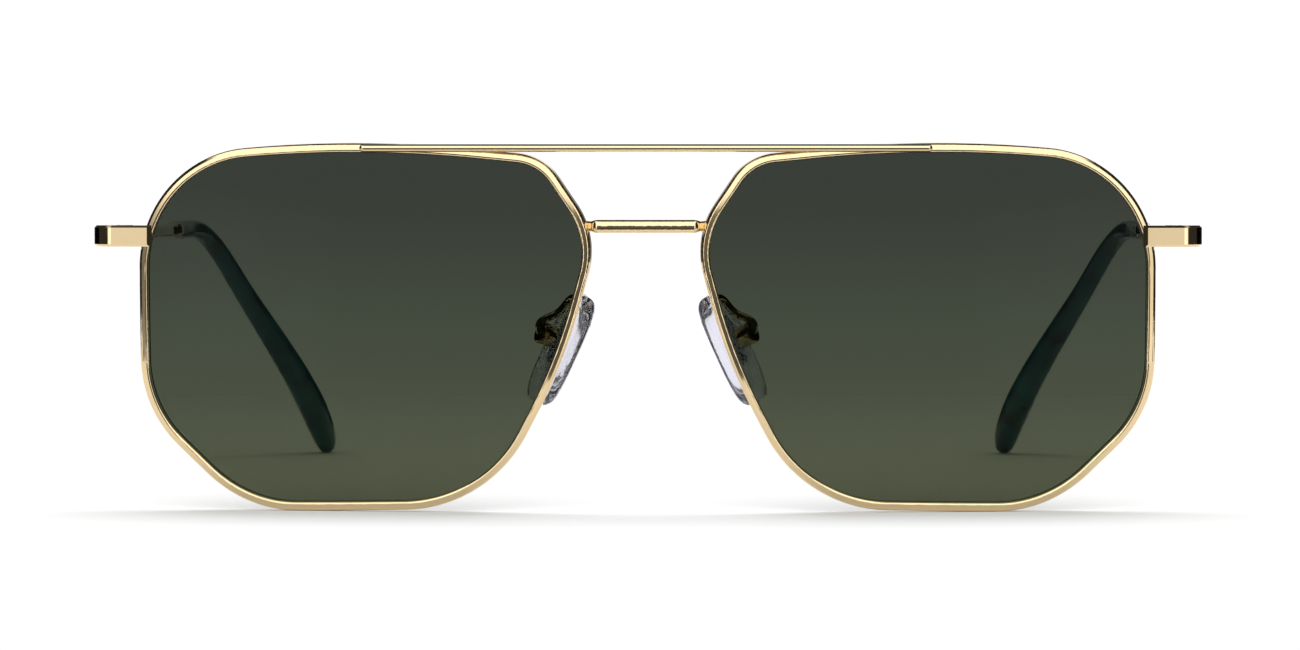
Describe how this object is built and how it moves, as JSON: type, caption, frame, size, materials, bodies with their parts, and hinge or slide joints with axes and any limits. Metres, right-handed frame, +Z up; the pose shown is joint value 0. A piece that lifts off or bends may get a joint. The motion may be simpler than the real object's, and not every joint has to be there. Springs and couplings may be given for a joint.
{
  "type": "sunglasses",
  "caption": "Aviator sunglasses: thin metal front with a brow bar above the bridge, curved tinted lenses, rocking nose pads and folding temples with plastic tips.",
  "frame": {"origin": "middle of the bottom of the bounding box of the open pair, on the floor that it stands on", "axes": "+X across the face towards the right-hand side as seen from the front, +Y from the front towards the ears, +Z up"},
  "size_m": [0.1436, 0.141, 0.0477],
  "materials": {
    "gold": "polished, pale gold plated nickel alloy",
    "screw": "polished, gold plated steel",
    "lens": "polished tinted lens, grey green",
    "tip": "polished cellulose acetate, very dark petrol blue",
    "pad": "clear moulded silicone",
    "insert": "clear stiff plastic insert"
  },
  "bodies": {
    "front": {"bridge": "gold", "brow_bar": "gold", "end_piece_left": "gold", "end_piece_right": "gold", "front_hinge_left": "gold", "front_hinge_right": "gold", "hinge_screw_left": "screw", "hinge_screw_right": "screw", "lens_left": "lens", "lens_right": "lens", "pad_arm_left": "gold", "pad_arm_right": "gold", "pad_box_left": "gold", "pad_box_right": "gold", "pad_screw_left": "screw", "pad_screw_right": "screw", "rim_block_lower_left": "gold", "rim_block_lower_right": "gold", "rim_block_upper_left": "gold", "rim_block_upper_right": "gold", "rim_left": "gold", "rim_right": "gold", "rim_screw_left": "screw", "rim_screw_right": "screw"},
    "left_temple": {"temple_hinge_left": "gold", "temple_left": "gold", "temple_tip_left": "tip"},
    "right_temple": {"temple_hinge_right": "gold", "temple_right": "gold", "temple_tip_right": "tip"},
    "left_pad": {"nose_pad_left": "pad", "pad_insert_left": "insert"},
    "right_pad": {"nose_pad_right": "pad", "pad_insert_right": "insert"}
  },
  "joints": [
    {"name": "left_temple_fold", "type": "hinge", "parent": "front", "child": "left_temple", "pos_m": [-0.0688, -0.05486, 0.03561], "axis": [0, 0, -1], "range_deg": [0, 84]},
    {"name": "right_temple_fold", "type": "hinge", "parent": "front", "child": "right_temple", "pos_m": [0.0688, -0.05486, 0.03561], "axis": [0, 0, 1], "range_deg": [0, 75]},
    {"name": "left_pad_rock", "type": "hinge", "parent": "front", "child": "left_pad", "pos_m": [-0.01291, -0.06304, 0.02284], "axis": [-0.3701, 0.9135, 0.1687], "range_deg": [-7, 7]},
    {"name": "right_pad_rock", "type": "hinge", "parent": "front", "child": "right_pad", "pos_m": [0.01291, -0.06304, 0.02284], "axis": [0.3701, 0.9135, 0.1687], "range_deg": [-7, 7]}
  ]
}
